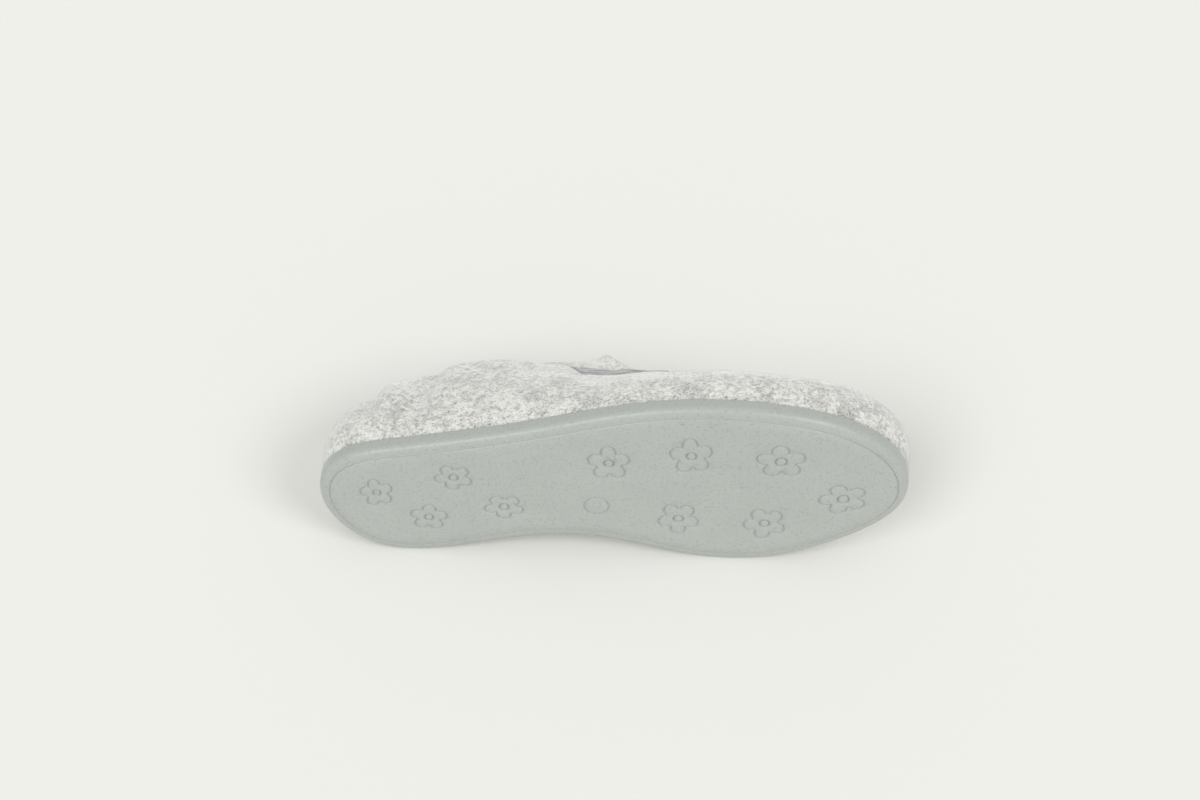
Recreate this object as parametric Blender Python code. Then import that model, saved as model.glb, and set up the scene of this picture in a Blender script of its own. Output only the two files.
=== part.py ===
"""Right felt house slipper lying on its inner side, sole edge and felt both on the floor.

Shoe axes in millimetres: s runs from heel to toe, w from the inner to the outer side of the
foot, h from the tread up to the collar. The shoe is laid down at the end: s is +X, the tread
looks to -Y and the outer side of the foot is up (+Z).
"""
import math

import bpy
import numpy as np

for old in list(bpy.data.objects):
    bpy.data.objects.remove(old, do_unlink=True)

MM = 0.001

# Driving sizes, in millimetres
LENGTH = 260.0          # outsole, heel to toe
SOLE_HEIGHT = 8.2       # side of the outsole
SOLE_EDGE_RADIUS = 3.4  # rounded lower edge
SOLE_TOP_RADIUS = 0.9   # softened upper edge
FIELD_INSET = 5.1       # tread field, from the outer edge
FIELD_STEP = 0.45       # tread field stands proud of the border by this
TOE_SPRING = 4.0        # lift of the toe end
SPRING_START = 196.0
FELT = 3.0              # wall of the upper
GAP = 0.3               # between pieces
FEATHER_INSET = 1.3     # foot of the felt wall, from the outer edge of the sole
THROAT = 156.0          # front end of the collar opening
HEEL_RIM = 14.0         # rear end of the collar opening
TOE_POLE = 228.0        # where the toe sections run together
INSOLE = 3.4
TONGUE_FELT = 2.8
TONGUE_ROOT = 176.0
LEAN = 5.0              # the tread looks up by this many degrees
PRESS = 0.7             # felt and sole edge pressed flat on the floor by this

# Columns and rows of the felt wall
REAR = 40
FRONT = 22
ROWS = 12
SOLE_POINTS = 96

# Sole outline: station is the share of the half turn from heel (0) to toe (12),
# outer and inner are distances from the line that the shoe lies on.
OUTLINE = (
    # station, outer, inner
    (0, 38.1, 38.1),
    (1, 53.2, 21.2),
    (2, 63.0, 6.5),
    (3, 68.2, 0.1),
    (4, 74.0, 4.6),
    (5, 82.0, 12.4),
    (6, 91.8, 11.4),
    (7, 97.2, 2.2),
    (8, 96.4, 0.9),
    (9, 90.3, 9.2),
    (10, 78.8, 20.2),
    (11, 63.2, 32.2),
    (12, 46.8, 46.8),
)

# Collar rim: station runs from the heel (0) to the throat (6).
RIM = (
    # station, outer w, outer h, inner w, inner h
    (0, 37.5, 54.0, 37.5, 54.0),
    (1, 50.5, 51.8, 20.5, 53.0),
    (2, 60.5, 57.0, 9.5, 54.0),
    (3, 67.5, 57.0, 13.5, 51.0),
    (4, 72.0, 44.8, 24.0, 46.0),
    (5, 72.0, 46.6, 28.5, 47.6),
    (6, 50.0, 52.0, 50.0, 52.0),
)

# Rise of the outer rim behind the slit of the gusset.
RISE_AT = 108.5
RISE_RUN = 5.5
RISE = 2.0

# Ridge of the vamp, from the throat to the toe.
RIDGE = (
    # s, w, h
    (156.0, 50.0, 52.0),
    (175.0, 49.5, 48.8),
    (195.0, 48.5, 46.2),
    (212.0, 48.0, 44.4),
    (221.0, 47.8, 43.7),
    (228.0, 47.5, 43.5),
)

# Squareness of the arched sections, 2 is an ellipse.
SQUARE = (
    # s, power
    (90.0, 1.80),
    (130.0, 1.78),
    (156.0, 1.88),
    (175.0, 2.07),
    (195.0, 2.24),
    (212.0, 2.34),
    (228.0, 2.38),
)

# How far the felt swells past its foot on each side.
SWELL = (
    # s, outer, inner
    (0.0, 2.7, 2.7),
    (40.0, 2.4, 1.1),
    (100.0, 2.2, 1.0),
    (125.0, 1.2, 1.1),
    (155.0, 1.1, 1.4),
    (172.0, 2.2, 1.7),
    (225.0, 2.4, 2.0),
    (260.0, 3.0, 3.0),
)

# Soft troughs of the slack heel, on the outer side.
TROUGHS = (
    # s at the rim, slant towards the heel at the foot, half width, depth
    (19.5, 5.0, 5.0, 3.8),
    (47.5, 8.0, 5.5, 2.6),
)


def ring_spline(values, at):
    """Closed cubic through evenly spaced values; at is in steps."""
    y = np.asarray(values, float)
    n = len(y)
    system = 4.0 * np.eye(n) + np.roll(np.eye(n), 1, axis=1) + np.roll(np.eye(n), -1, axis=1)
    bend = np.linalg.solve(system, 6.0 * (np.roll(y, -1) - 2.0 * y + np.roll(y, 1)))
    at = np.asarray(at, float) % n
    i = np.floor(at).astype(int) % n
    k = (i + 1) % n
    b = at - np.floor(at)
    a = 1.0 - b
    return a * y[i] + b * y[k] + ((a ** 3 - a) * bend[i] + (b ** 3 - b) * bend[k]) / 6.0


def open_spline(xs, ys, at):
    """Natural cubic through the rows of a table."""
    x = np.asarray(xs, float)
    y = np.asarray(ys, float)
    n = len(x)
    d = np.diff(x)
    system = np.eye(n)
    right = np.zeros(n)
    for i in range(1, n - 1):
        system[i, i - 1:i + 2] = d[i - 1], 2.0 * (d[i - 1] + d[i]), d[i]
        right[i] = 6.0 * ((y[i + 1] - y[i]) / d[i] - (y[i] - y[i - 1]) / d[i - 1])
    bend = np.linalg.solve(system, right)
    at = np.clip(np.asarray(at, float), x[0], x[-1])
    i = np.clip(np.searchsorted(x, at) - 1, 0, n - 2)
    a = (x[i + 1] - at) / d[i]
    b = 1.0 - a
    bow = (a ** 3 - a) * bend[i] + (b ** 3 - b) * bend[i + 1]
    return a * y[i] + b * y[i + 1] + bow * d[i] ** 2 / 6.0


def both_sides(table, outer, inner):
    """Values of a heel-to-front table as one closed loop, out along the outer side."""
    there = [row[outer] for row in table]
    back = [row[inner] for row in table]
    return there + back[-2:0:-1]


SOLE_LOOP = both_sides(OUTLINE, 1, 2)
RIM_W_LOOP = both_sides(RIM, 1, 3)
RIM_H_LOOP = both_sides(RIM, 2, 4)


def outline(turn):
    """Sole edge at a turn of 0 to 2 pi, heel at 0, toe at pi."""
    turn = np.asarray(turn, float)
    s = LENGTH / 2.0 * (1.0 - np.cos(turn))
    w = ring_spline(SOLE_LOOP, turn / math.pi * 12.0)
    return np.stack([s, w], axis=-1)


def outward(turn):
    """Outward normal of the sole edge in plan."""
    step = outline(turn + 1e-3) - outline(turn - 1e-3)
    normal = np.stack([-step[..., 1], step[..., 0]], axis=-1)
    return normal / np.linalg.norm(normal, axis=-1, keepdims=True)


def inset(turn, distance):
    return outline(turn) - distance * outward(turn)


def turn_at(s, outer):
    """Turn whose station is s, on the outer or the inner side."""
    turn = np.arccos(np.clip(1.0 - 2.0 * np.asarray(s, float) / LENGTH, -1.0, 1.0))
    return turn if outer else 2.0 * math.pi - turn


def ease(x):
    x = np.clip(x, 0.0, 1.0)
    return x * x * (3.0 - 2.0 * x)


def columns():
    """Stations of each column at the foot and at the top of the wall."""
    q = np.arange(REAR + 1) / REAR
    half = (1.0 - np.cos(math.pi * q)) / 2.0
    x = np.arange(1, FRONT + 1) / FRONT
    foot_front = THROAT + (LENGTH - THROAT) * np.sin(math.pi / 2.0 * x)
    share = 0.72 * (1.0 - (1.0 - x) ** 2.5) + 0.28 * x
    top_front = THROAT + (TOE_POLE - THROAT) * share
    foot = np.concatenate([THROAT * half, foot_front])
    top = np.concatenate([HEEL_RIM + (THROAT - HEEL_RIM) * half, top_front])
    return q, foot, top


def wall(outer):
    """Outer face of the felt on one side of the foot: points by column and row.

    Each column is a piece of a rounded arch that stands upright on the sole edge. The vamp has
    the whole arch up to its ridge, the collar only the part below its rim.
    """
    q, foot_s, top_s = columns()
    turn = turn_at(foot_s, outer)
    foot = inset(turn, FEATHER_INSET)
    out = outward(turn)
    step = q * 6.0 if outer else 12.0 - q * 6.0
    ridge = np.array(RIDGE)
    vamp = top_s[REAR + 1:]
    top_w = np.concatenate([ring_spline(RIM_W_LOOP, step), open_spline(ridge[:, 0], ridge[:, 1], vamp)])
    top_h = np.concatenate([ring_spline(RIM_H_LOOP, step), open_spline(ridge[:, 0], ridge[:, 2], vamp)])
    if outer:
        top_h += RISE * np.exp(-((top_s - RISE_AT) / RISE_RUN) ** 2)
    squares = np.array(SQUARE)
    square = open_spline(squares[:, 0], squares[:, 1], top_s)
    swells = np.array(SWELL)
    swell = np.interp(foot_s, swells[:, 0], swells[:, 1 if outer else 2])
    share = np.ones(len(foot_s))
    reach = np.abs(top_w - foot[:, 1]) / np.abs(RIDGE[0][1] - foot[:, 1])
    near_throat = ease((q - 0.30) / 0.25)
    share[:REAR + 1] = 0.3 + near_throat * (np.clip(reach[:REAR + 1], 0.3, 1.0) - 0.3)
    base = SOLE_HEIGHT + GAP
    v = np.arange(ROWS + 1) / ROWS
    grid = np.zeros((len(foot_s), ROWS + 1, 3))
    for k in range(len(foot_s)):
        power = 2.0 / square[k]
        angle = v * math.acos(max(1.0 - share[k], 0.0) ** (1.0 / power))
        x = (1.0 - np.cos(angle) ** power) / share[k]
        y = np.sin(angle) ** power / math.sin(angle[-1]) ** power
        bow = swell[k] * np.sin(math.pi * np.clip(y, 0.0, 1.0) ** 0.8)
        grid[k, :, 0] = foot[k, 0] + x * (top_s[k] - foot[k, 0]) + bow * out[k, 0]
        grid[k, :, 1] = foot[k, 1] + x * (top_w[k] - foot[k, 1]) + bow * out[k, 1]
        grid[k, :, 2] = base + y * (top_h[k] - base)
        if outer and k <= REAR:
            for at, slant, half, depth in TROUGHS:
                line = at - slant * (1.0 - v)
                near = np.exp(-((grid[k, :, 0] - line) / half) ** 2)
                grid[k, :, :2] -= (depth * near * ease(v * 1.3))[:, None] * out[k]
    return grid


class Solid:
    """Points and faces of one piece."""

    def __init__(self):
        self.points = []
        self.faces = []

    def add(self, points):
        first = len(self.points)
        self.points.extend([tuple(p) for p in points])
        return list(range(first, len(self.points)))

    def band(self, low, high, ring):
        n = len(low)
        for i in range(n if ring else n - 1):
            k = (i + 1) % n
            self.faces.append((low[i], low[k], high[k], high[i]))


def normals_of(points, faces):
    p = np.asarray(points, float)
    found = np.zeros_like(p)
    for face in faces:
        a, b, c, d = (p[i] for i in face)
        n = np.cross(c - a, d - b)
        for i in face:
            found[i] += n
    return found / np.maximum(np.linalg.norm(found, axis=1, keepdims=True), 1e-12)


def upper_faces():
    """The felt wall: shared points, index by column of the closed loop and row, and its faces."""
    sides = (wall(True), wall(False))
    last = REAR + FRONT
    points = []
    index = {}
    for side in (0, 1):
        for k in range(last + 1):
            for j in range(ROWS + 1):
                shared = side == 1 and (k in (0, last) or (j == ROWS and k >= REAR))
                if shared:
                    index[1, k, j] = index[0, k, j]
                    continue
                index[side, k, j] = len(points)
                points.append(sides[side][k, j])
    loop = [(0, k) for k in range(last + 1)] + [(1, k) for k in range(last - 1, 0, -1)]
    faces = []
    for i in range(len(loop)):
        a = loop[i]
        b = loop[(i + 1) % len(loop)]
        for j in range(ROWS):
            faces.append((index[b + (j,)], index[a + (j,)], index[a + (j + 1,)], index[b + (j + 1,)]))
    return np.array(points), index, loop, faces


def make_upper():
    points, index, loop, faces = upper_faces()
    away = normals_of(points, faces)
    inside = points - FELT * away
    for a in loop:
        i = index[a + (0,)]
        flat = away[i].copy()
        flat[2] = 0.0
        flat /= np.linalg.norm(flat)
        inside[i] = points[i] - FELT * flat
    solid = Solid()
    solid.add(points)
    solid.add(inside)
    n = len(points)
    solid.faces = [tuple(f) for f in faces]
    solid.faces += [tuple(i + n for i in reversed(f)) for f in faces]
    foot = [index[a + (0,)] for a in loop]
    for i in range(len(foot)):
        k = (i + 1) % len(foot)
        solid.faces.append((foot[i], foot[k], foot[k] + n, foot[i] + n))
    rim = [index[0, k, ROWS] for k in range(REAR + 1)] + [index[1, k, ROWS] for k in range(REAR - 1, 0, -1)]
    for i in range(len(rim)):
        k = (i + 1) % len(rim)
        solid.faces.append((rim[k], rim[i], rim[i] + n, rim[k] + n))
    return solid, inside, index


def make_outsole():
    turn = np.arange(SOLE_POINTS) * 2.0 * math.pi / SOLE_POINTS
    profile = [(FIELD_INSET, 0.0), (FIELD_INSET - 0.5, FIELD_STEP)]
    for i in range(6):
        angle = math.pi / 2.0 * i / 5.0
        reach = SOLE_EDGE_RADIUS * (1.0 - math.sin(angle))
        lift = FIELD_STEP + SOLE_EDGE_RADIUS * (1.0 - math.cos(angle))
        profile.append((reach, lift))
    for i in range(3):
        angle = math.pi / 2.0 * i / 2.0
        reach = SOLE_TOP_RADIUS * (1.0 - math.cos(angle))
        lift = SOLE_HEIGHT - SOLE_TOP_RADIUS * (1.0 - math.sin(angle))
        profile.append((reach, lift))
    solid = Solid()
    rings = []
    for reach, lift in profile:
        plan = inset(turn, reach)
        rings.append(solid.add(np.column_stack([plan, np.full(SOLE_POINTS, lift)])))
    for low, high in zip(rings, rings[1:]):
        solid.band(low[::-1], high[::-1], True)
    rows = strip(rings[0])
    solid.faces += rows
    solid.faces += [tuple(reversed(f)) for f in strip(rings[-1])]
    return solid


def strip(ring):
    """Faces across a closed ring whose first point is the heel: outer side to inner side."""
    n = len(ring)
    faces = [(ring[0], ring[1], ring[n - 1])]
    for i in range(1, n // 2 - 1):
        faces.append((ring[i], ring[i + 1], ring[n - i - 1], ring[n - i]))
    faces.append((ring[n // 2 - 1], ring[n // 2], ring[n // 2 + 1]))
    return faces


def make_insole():
    turn = np.arange(SOLE_POINTS) * 2.0 * math.pi / SOLE_POINTS
    low_h = SOLE_HEIGHT + GAP
    edge = FEATHER_INSET + FELT + GAP
    profile = [(edge + 0.4, low_h), (edge + 0.4, low_h + INSOLE - 0.9), (edge + 1.4, low_h + INSOLE)]
    solid = Solid()
    rings = []
    for reach, lift in profile:
        plan = inset(turn, reach)
        rings.append(solid.add(np.column_stack([plan, np.full(SOLE_POINTS, lift)])))
    for low, high in zip(rings, rings[1:]):
        solid.band(low[::-1], high[::-1], True)
    solid.faces += strip(rings[0])
    solid.faces += [tuple(reversed(f)) for f in strip(rings[-1])]
    return solid


# Tongue behind the throat, to its free end: an arched flap.
TONGUE = (
    # s, w of the centre line, h of the centre line, half width, drop of the edges
    (150.0, 50.0, 48.4, 15.0, 3.0),
    (146.0, 50.0, 51.6, 20.0, 1.6),
    (139.5, 50.0, 55.0, 21.3, 5.5),
    (133.0, 50.0, 57.6, 21.8, 7.7),
    (126.0, 50.0, 59.6, 22.2, 8.7),
    (118.0, 50.0, 60.4, 22.0, 7.3),
    (110.0, 50.0, 60.4, 21.0, 7.6),
    (103.5, 50.0, 60.0, 19.2, 5.6),
    (99.5, 50.0, 59.6, 17.0, 2.9),
    (96.0, 50.0, 59.2, 15.0, 0.8),
)
TONGUE_HALF = 15.0
TONGUE_ACROSS = 12
PINCH_AT = 125.0        # pointed fold of the tongue's outer edge
PINCH_RUN = 10.0
PINCH = 6.2

# Elastic strip in the slit between the collar and the outer edge of the tongue.
GUSSET = 1.2
GUSSET_FROM = 109.0
GUSSET_TO = 143.0


def make_tongue(inside, index):
    """Felt flap: lies under the vamp from its root to the throat, then rises to a pointed tip."""
    across = np.linspace(-1.0, 1.0, TONGUE_ACROSS + 1)
    rows = []
    k = REAR
    while inside[index[0, k, ROWS]][0] < TONGUE_ROOT:
        side_o = np.array([inside[index[0, k, j]] for j in range(ROWS + 1)])
        side_i = np.array([inside[index[1, k, j]] for j in range(ROWS + 1)])
        line = np.vstack([side_i, side_o[-2::-1]])
        middle = side_o[-1]
        w = middle[1] + TONGUE_HALF * across
        h = np.interp(w, line[:, 1], line[:, 2])
        s = np.interp(w, line[:, 1], line[:, 0])
        rows.append(np.column_stack([s, w, h - GAP - 0.5]))
        k += 1
    rows = rows[::-1]
    folds = [np.zeros(TONGUE_ACROSS + 1) for _ in rows]
    start = rows[-1][TONGUE_ACROSS // 2]
    drop = start[2] - rows[-1][-1, 2]
    table = np.array([(start[0], start[1], start[2], TONGUE_HALF, drop)] + list(TONGUE))
    run = np.arange(len(table))
    for t in np.arange(1, 2 * (len(table) - 1) + 1) / 2.0:
        s, w, h, half, drop = (float(open_spline(run, table[:, c], t)) for c in range(5))
        fold = PINCH * max(0.0, 1.0 - abs(s - PINCH_AT) / PINCH_RUN) ** 1.4
        rows.append(np.column_stack([
            np.full(TONGUE_ACROSS + 1, s),
            w + half * across,
            h - drop * across ** 2,
        ]))
        folds.append(fold * ease((across - 0.1) / 0.9))
    top = np.array(rows)
    run = np.gradient(top, axis=0)
    wide = np.gradient(top, axis=1)
    up = np.cross(wide, run)
    up /= np.linalg.norm(up, axis=2, keepdims=True)
    up *= np.sign(up[..., 2:3])
    low = top - TONGUE_FELT * up
    top[..., 2] += np.array(folds)
    low[..., 2] += 0.2 * np.array(folds)
    return sheet_solid(top, low), low


def sheet_solid(top, low):
    """Closed solid between two faces given as rows of points."""
    solid = Solid()
    high_rows = [solid.add(r) for r in top]
    low_rows = [solid.add(r) for r in low]
    for a, b in zip(high_rows, high_rows[1:]):
        solid.band(a, b, False)
    for a, b in zip(low_rows, low_rows[1:]):
        solid.band(b, a, False)
    ends = [r[0] for r in high_rows], [r[-1] for r in high_rows]
    lows = [r[0] for r in low_rows], [r[-1] for r in low_rows]
    solid.band(ends[0], lows[0], False)
    solid.band(lows[1], ends[1], False)
    solid.band(low_rows[0], high_rows[0], False)
    solid.band(high_rows[-1], low_rows[-1], False)
    return solid


def make_gusset(upper, inside, index, tongue_low):
    """Strip from inside the collar, out past its rim, to the underside of the tongue."""
    edge = tongue_low[::-1, -1]
    under = tongue_low[::-1, -3]
    clear = [0.0, 0.0, -GAP - 0.3]
    rows = []
    for k in range(REAR + 1):
        rim = index[0, k, ROWS]
        deep = index[0, k, ROWS - 2]
        s = inside[rim][0]
        if not GUSSET_FROM <= s <= GUSSET_TO:
            continue
        row = [inside[i] + GAP / FELT * (inside[i] - upper.points[i]) for i in (deep, rim)]
        for line in (edge, under):
            w = np.interp(s, line[:, 0], line[:, 1])
            h = np.interp(s, line[:, 0], line[:, 2])
            row.append(np.array([s, w - 0.8, h]) + clear)
        rows.append(row)
    top = np.array(rows)
    out = np.cross(np.gradient(top, axis=1), np.gradient(top, axis=0))
    out /= np.linalg.norm(out, axis=2, keepdims=True)
    return sheet_solid(top, top - GUSSET * out)


def spring(points):
    """Lifts the toe end of every piece alike."""
    x = np.clip((points[:, 0] - SPRING_START) / (LENGTH - SPRING_START), 0.0, 1.2)
    points[:, 2] += TOE_SPRING * x * x
    return points


def laid_down(points):
    """Shoe axes to the floor: tread to -Y and up by the lean, outer side up."""
    lean = math.radians(LEAN)
    s, w, h = points.T
    return np.column_stack([
        s,
        h * math.cos(lean) + w * math.sin(lean),
        w * math.cos(lean) - h * math.sin(lean),
    ])


def material(name, colour, roughness):
    made = bpy.data.materials.new(name)
    made.use_nodes = True
    made.diffuse_color = colour
    shader = made.node_tree.nodes["Principled BSDF"]
    shader.inputs["Base Color"].default_value = colour
    shader.inputs["Roughness"].default_value = roughness
    return made


def main():
    upper, inside, index = make_upper()
    tongue, tongue_low = make_tongue(inside, index)
    gusset = make_gusset(upper, inside, index, tongue_low)
    pieces = {
        "outsole": (make_outsole(), material("sole_rubber", (0.47, 0.49, 0.46, 1.0), 0.45)),
        "upper": (upper, material("upper_felt", (0.66, 0.66, 0.63, 1.0), 0.95)),
        "tongue": (tongue, material("tongue_felt", (0.64, 0.64, 0.62, 1.0), 0.95)),
        "gusset": (gusset, material("gusset_elastic", (0.42, 0.45, 0.47, 1.0), 0.9)),
        "insole": (make_insole(), material("insole_felt", (0.36, 0.38, 0.40, 1.0), 0.95)),
    }
    laid = {}
    for name, (solid, shade) in pieces.items():
        laid[name] = laid_down(spring(np.array(solid.points, float)))
    floor = min(laid["outsole"][:, 2].min(), laid["upper"][:, 2].min()) + PRESS
    for name in laid:
        laid[name][:, 2] = np.maximum(laid[name][:, 2] - floor, 0.0)
    every = np.vstack(list(laid.values()))
    middle = (every.min(axis=0) + every.max(axis=0)) / 2.0
    for name, (solid, shade) in pieces.items():
        points = laid[name] - [middle[0], middle[1], 0.0]
        mesh = bpy.data.meshes.new(name)
        # Laying the shoe down swaps two axes, which turns every face round.
        faces = [tuple(reversed(face)) for face in solid.faces]
        mesh.from_pydata([tuple(p) for p in points * MM], [], faces)
        mesh.update()
        mesh.materials.append(shade)
        body = bpy.data.objects.new(name, mesh)
        bpy.context.scene.collection.objects.link(body)


main()
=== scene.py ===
"""Looks of a right felt house slipper that lies on its inner side.

Shoe axes are in millimetres: s runs from heel to toe, w from the inner to the outer side of the
foot, h from the tread up to the collar. The shapes repeat the functions of the solids at a finer
pitch and add what is left to the looks: creases, engraved flowers, lining, nap and fuzz.
"""
import math

import bpy
import numpy as np
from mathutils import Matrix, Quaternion, Vector, noise
from mathutils.geometry import delaunay_2d_cdt


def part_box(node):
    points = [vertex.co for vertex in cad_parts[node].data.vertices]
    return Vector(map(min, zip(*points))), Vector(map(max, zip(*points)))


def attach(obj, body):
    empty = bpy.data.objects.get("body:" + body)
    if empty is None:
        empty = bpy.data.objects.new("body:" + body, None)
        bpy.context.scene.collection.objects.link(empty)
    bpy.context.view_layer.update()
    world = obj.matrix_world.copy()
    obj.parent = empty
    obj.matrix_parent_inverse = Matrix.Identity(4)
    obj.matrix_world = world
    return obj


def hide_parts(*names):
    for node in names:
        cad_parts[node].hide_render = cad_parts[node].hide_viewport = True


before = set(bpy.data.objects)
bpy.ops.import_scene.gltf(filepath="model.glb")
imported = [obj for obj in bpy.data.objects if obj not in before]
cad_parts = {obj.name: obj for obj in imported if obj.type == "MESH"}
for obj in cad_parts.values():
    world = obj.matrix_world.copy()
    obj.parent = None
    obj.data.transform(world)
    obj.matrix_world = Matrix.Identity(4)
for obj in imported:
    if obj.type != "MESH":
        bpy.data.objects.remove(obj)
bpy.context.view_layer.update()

MM = 0.001
BODY = "root"

# Sizes of the solids, in millimetres
LENGTH = 260.0
SOLE_HEIGHT = 8.2
SOLE_EDGE_RADIUS = 3.4
SOLE_TOP_RADIUS = 0.9
FIELD_INSET = 5.1
FIELD_STEP = 0.45
TOE_SPRING = 4.0
SPRING_START = 196.0
FELT = 3.0
GAP = 0.3
FEATHER_INSET = 1.3
THROAT = 156.0
HEEL_RIM = 14.0
TOE_POLE = 228.0
INSOLE = 3.4
INSOLE_ROOM = 0.4       # more than the gap to the felt
INSOLE_EDGE = (1.0, 0.9)    # run and height of its rounded edge
INSOLE_INNER = (3.0, 9.0)   # rings inside that edge
TONGUE_FELT = 2.8
TONGUE_ROOT = 176.0
LEAN = 5.0

# Finish of a face: its place among the materials of the piece
PLAIN = 0
LINED = 1               # of the upper and the tongue
BORDER = 1              # of the sole
# Dark thread of the stitch and of the slit's edge, which paints a shadow line
SHADOW_SEWN = 2                # of the upper

# Steps along and up the felt wall, and round the edges of sole and insole
REAR = 150
FRONT = 84
ROWS = 46
SOLE_POINTS = 480
EDGE_STEPS = 12
TOP_STEPS = 5
INSOLE_POINTS = 240
INSOLE_STEPS = 6

# How the felt wall bends between the sole and the rim
VAMP_CROWD = 0.72       # share of the vamp's columns that crowd to the toe
VAMP_POWER = 2.5
LEAST_REACH = 0.3       # bend inwards at the heel, of that at the throat
REACH_FROM = 0.30       # share of the rim where the bend starts to grow
REACH_RUN = 0.25
SWELL_POWER = 0.8
TROUGH_RISE = 1.3       # how soon a trough is at its full depth
SPRING_LIMIT = 1.2

# Edge of the sole in plan: w at even turns from heel to toe
OUTLINE = (
    # station, outer, inner
    (0, 38.1, 38.1),
    (1, 53.2, 21.2),
    (2, 63.0, 6.5),
    (3, 68.2, 0.1),
    (4, 74.0, 4.6),
    (5, 82.0, 12.4),
    (6, 91.8, 11.4),
    (7, 97.2, 2.2),
    (8, 96.4, 0.9),
    (9, 90.3, 9.2),
    (10, 78.8, 20.2),
    (11, 63.2, 32.2),
    (12, 46.8, 46.8),
)

# Rim of the collar, in even steps from the heel to the throat
RIM = (
    # station, outer w, outer h, inner w, inner h
    (0, 37.5, 54.0, 37.5, 54.0),
    (1, 50.5, 51.8, 20.5, 53.0),
    (2, 60.5, 57.0, 9.5, 54.0),
    (3, 67.5, 57.0, 13.5, 51.0),
    (4, 72.0, 44.8, 24.0, 46.0),
    (5, 72.0, 46.6, 28.5, 47.6),
    (6, 50.0, 52.0, 50.0, 52.0),
)

# Rise of the outer rim behind the slit of the gusset, and its dip at the slit's end
RIM_BUMPS = (
    # s, run, lift
    (106.0, 8.0, 2.6),
    (115.0, 2.8, -1.4),
)

# Ridge of the vamp, from the throat to the toe
RIDGE = (
    # s, w, h
    (156.0, 50.0, 52.0),
    (175.0, 49.5, 48.8),
    (195.0, 48.5, 46.2),
    (212.0, 48.0, 44.4),
    (221.0, 47.8, 43.7),
    (228.0, 47.5, 43.5),
)

# How square the section of the wall is
SQUARE = (
    # s, power
    (90.0, 1.80),
    (130.0, 1.78),
    (156.0, 1.88),
    (175.0, 2.07),
    (195.0, 2.24),
    (212.0, 2.34),
    (228.0, 2.38),
)

# How far the wall swells out on either side
SWELL = (
    # s, outer, inner
    (0.0, 2.7, 2.7),
    (40.0, 2.4, 1.1),
    (100.0, 2.2, 1.0),
    (125.0, 1.2, 1.1),
    (155.0, 1.1, 1.4),
    (172.0, 2.2, 1.7),
    (225.0, 2.4, 2.0),
    (260.0, 3.0, 3.0),
)

# Large troughs of the slack heel
TROUGHS = (
    # s at the rim, slant towards the heel at the foot, half width, depth
    (19.5, 5.0, 5.0, 3.8),
    (47.5, 8.0, 5.5, 2.6),
)

# Tongue behind its root, to its free end
TONGUE = (
    # s, w of the centre line, h of the centre line, half width, drop of the edges
    (150.0, 50.0, 48.4, 15.0, 3.0),
    (146.0, 50.0, 51.6, 20.0, 2.6),
    (139.5, 50.0, 55.0, 21.3, 5.5),
    (133.0, 50.0, 57.6, 21.8, 7.2),
    (126.0, 50.0, 59.6, 22.2, 8.7),
    (118.0, 50.0, 60.4, 22.0, 8.1),
    (110.0, 50.0, 60.4, 21.0, 7.2),
    (103.5, 50.0, 60.0, 19.2, 5.2),
    (99.5, 50.0, 59.6, 17.0, 2.9),
    (96.6, 50.0, 59.2, 14.4, 1.2),
    (94.6, 50.0, 58.9, 11.0, 0.6),
    (93.5, 50.0, 58.7, 7.0, 0.2),
    (93.0, 50.0, 58.6, 3.0, 0.05),
)
TONGUE_HALF = 15.0
TONGUE_ACROSS = 40
TONGUE_STEPS = 8
TONGUE_ROOM = 0.5       # more than the gap to the vamp
SKIVE = 0.75            # share that is pared off the tongue's outer edge
SKIVE_FROM = 128.0
SKIVE_RUN = 8.0
SKIVE_EDGE = 0.6        # share of the half width where the paring starts
PINCH_AT = 125.0
PINCH_BACK = 9.0        # reach of the pinched fold to the heel
PINCH_FRONT = 13.0      # and to the toe
PINCH = 6.9
PINCH_POWER = 1.3
PINCH_EDGE = 0.1        # share of the half width where the fold starts
PINCH_UNDER = 0.1       # share of the fold that the underside follows

# Elastic strip in the slit between the collar and the outer edge of the tongue
GUSSET = 1.2
GUSSET_FROM = 107.5
GUSSET_TO = 147.2
GUSSET_PITCH = 0.6
GUSSET_BEHIND = 4.0     # behind the inner face of the collar
GUSSET_DEEP = 8         # rows of the wall below the rim
GUSSET_UNDER = (-1, -8)     # columns of the tongue that it runs under
GUSSET_ROOM = (0.4, 0.1)    # out from the tongue, and below it
GUSSET_ACROSS = 72
RIB_PITCH = 1.3
RIB = 0.30

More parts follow.
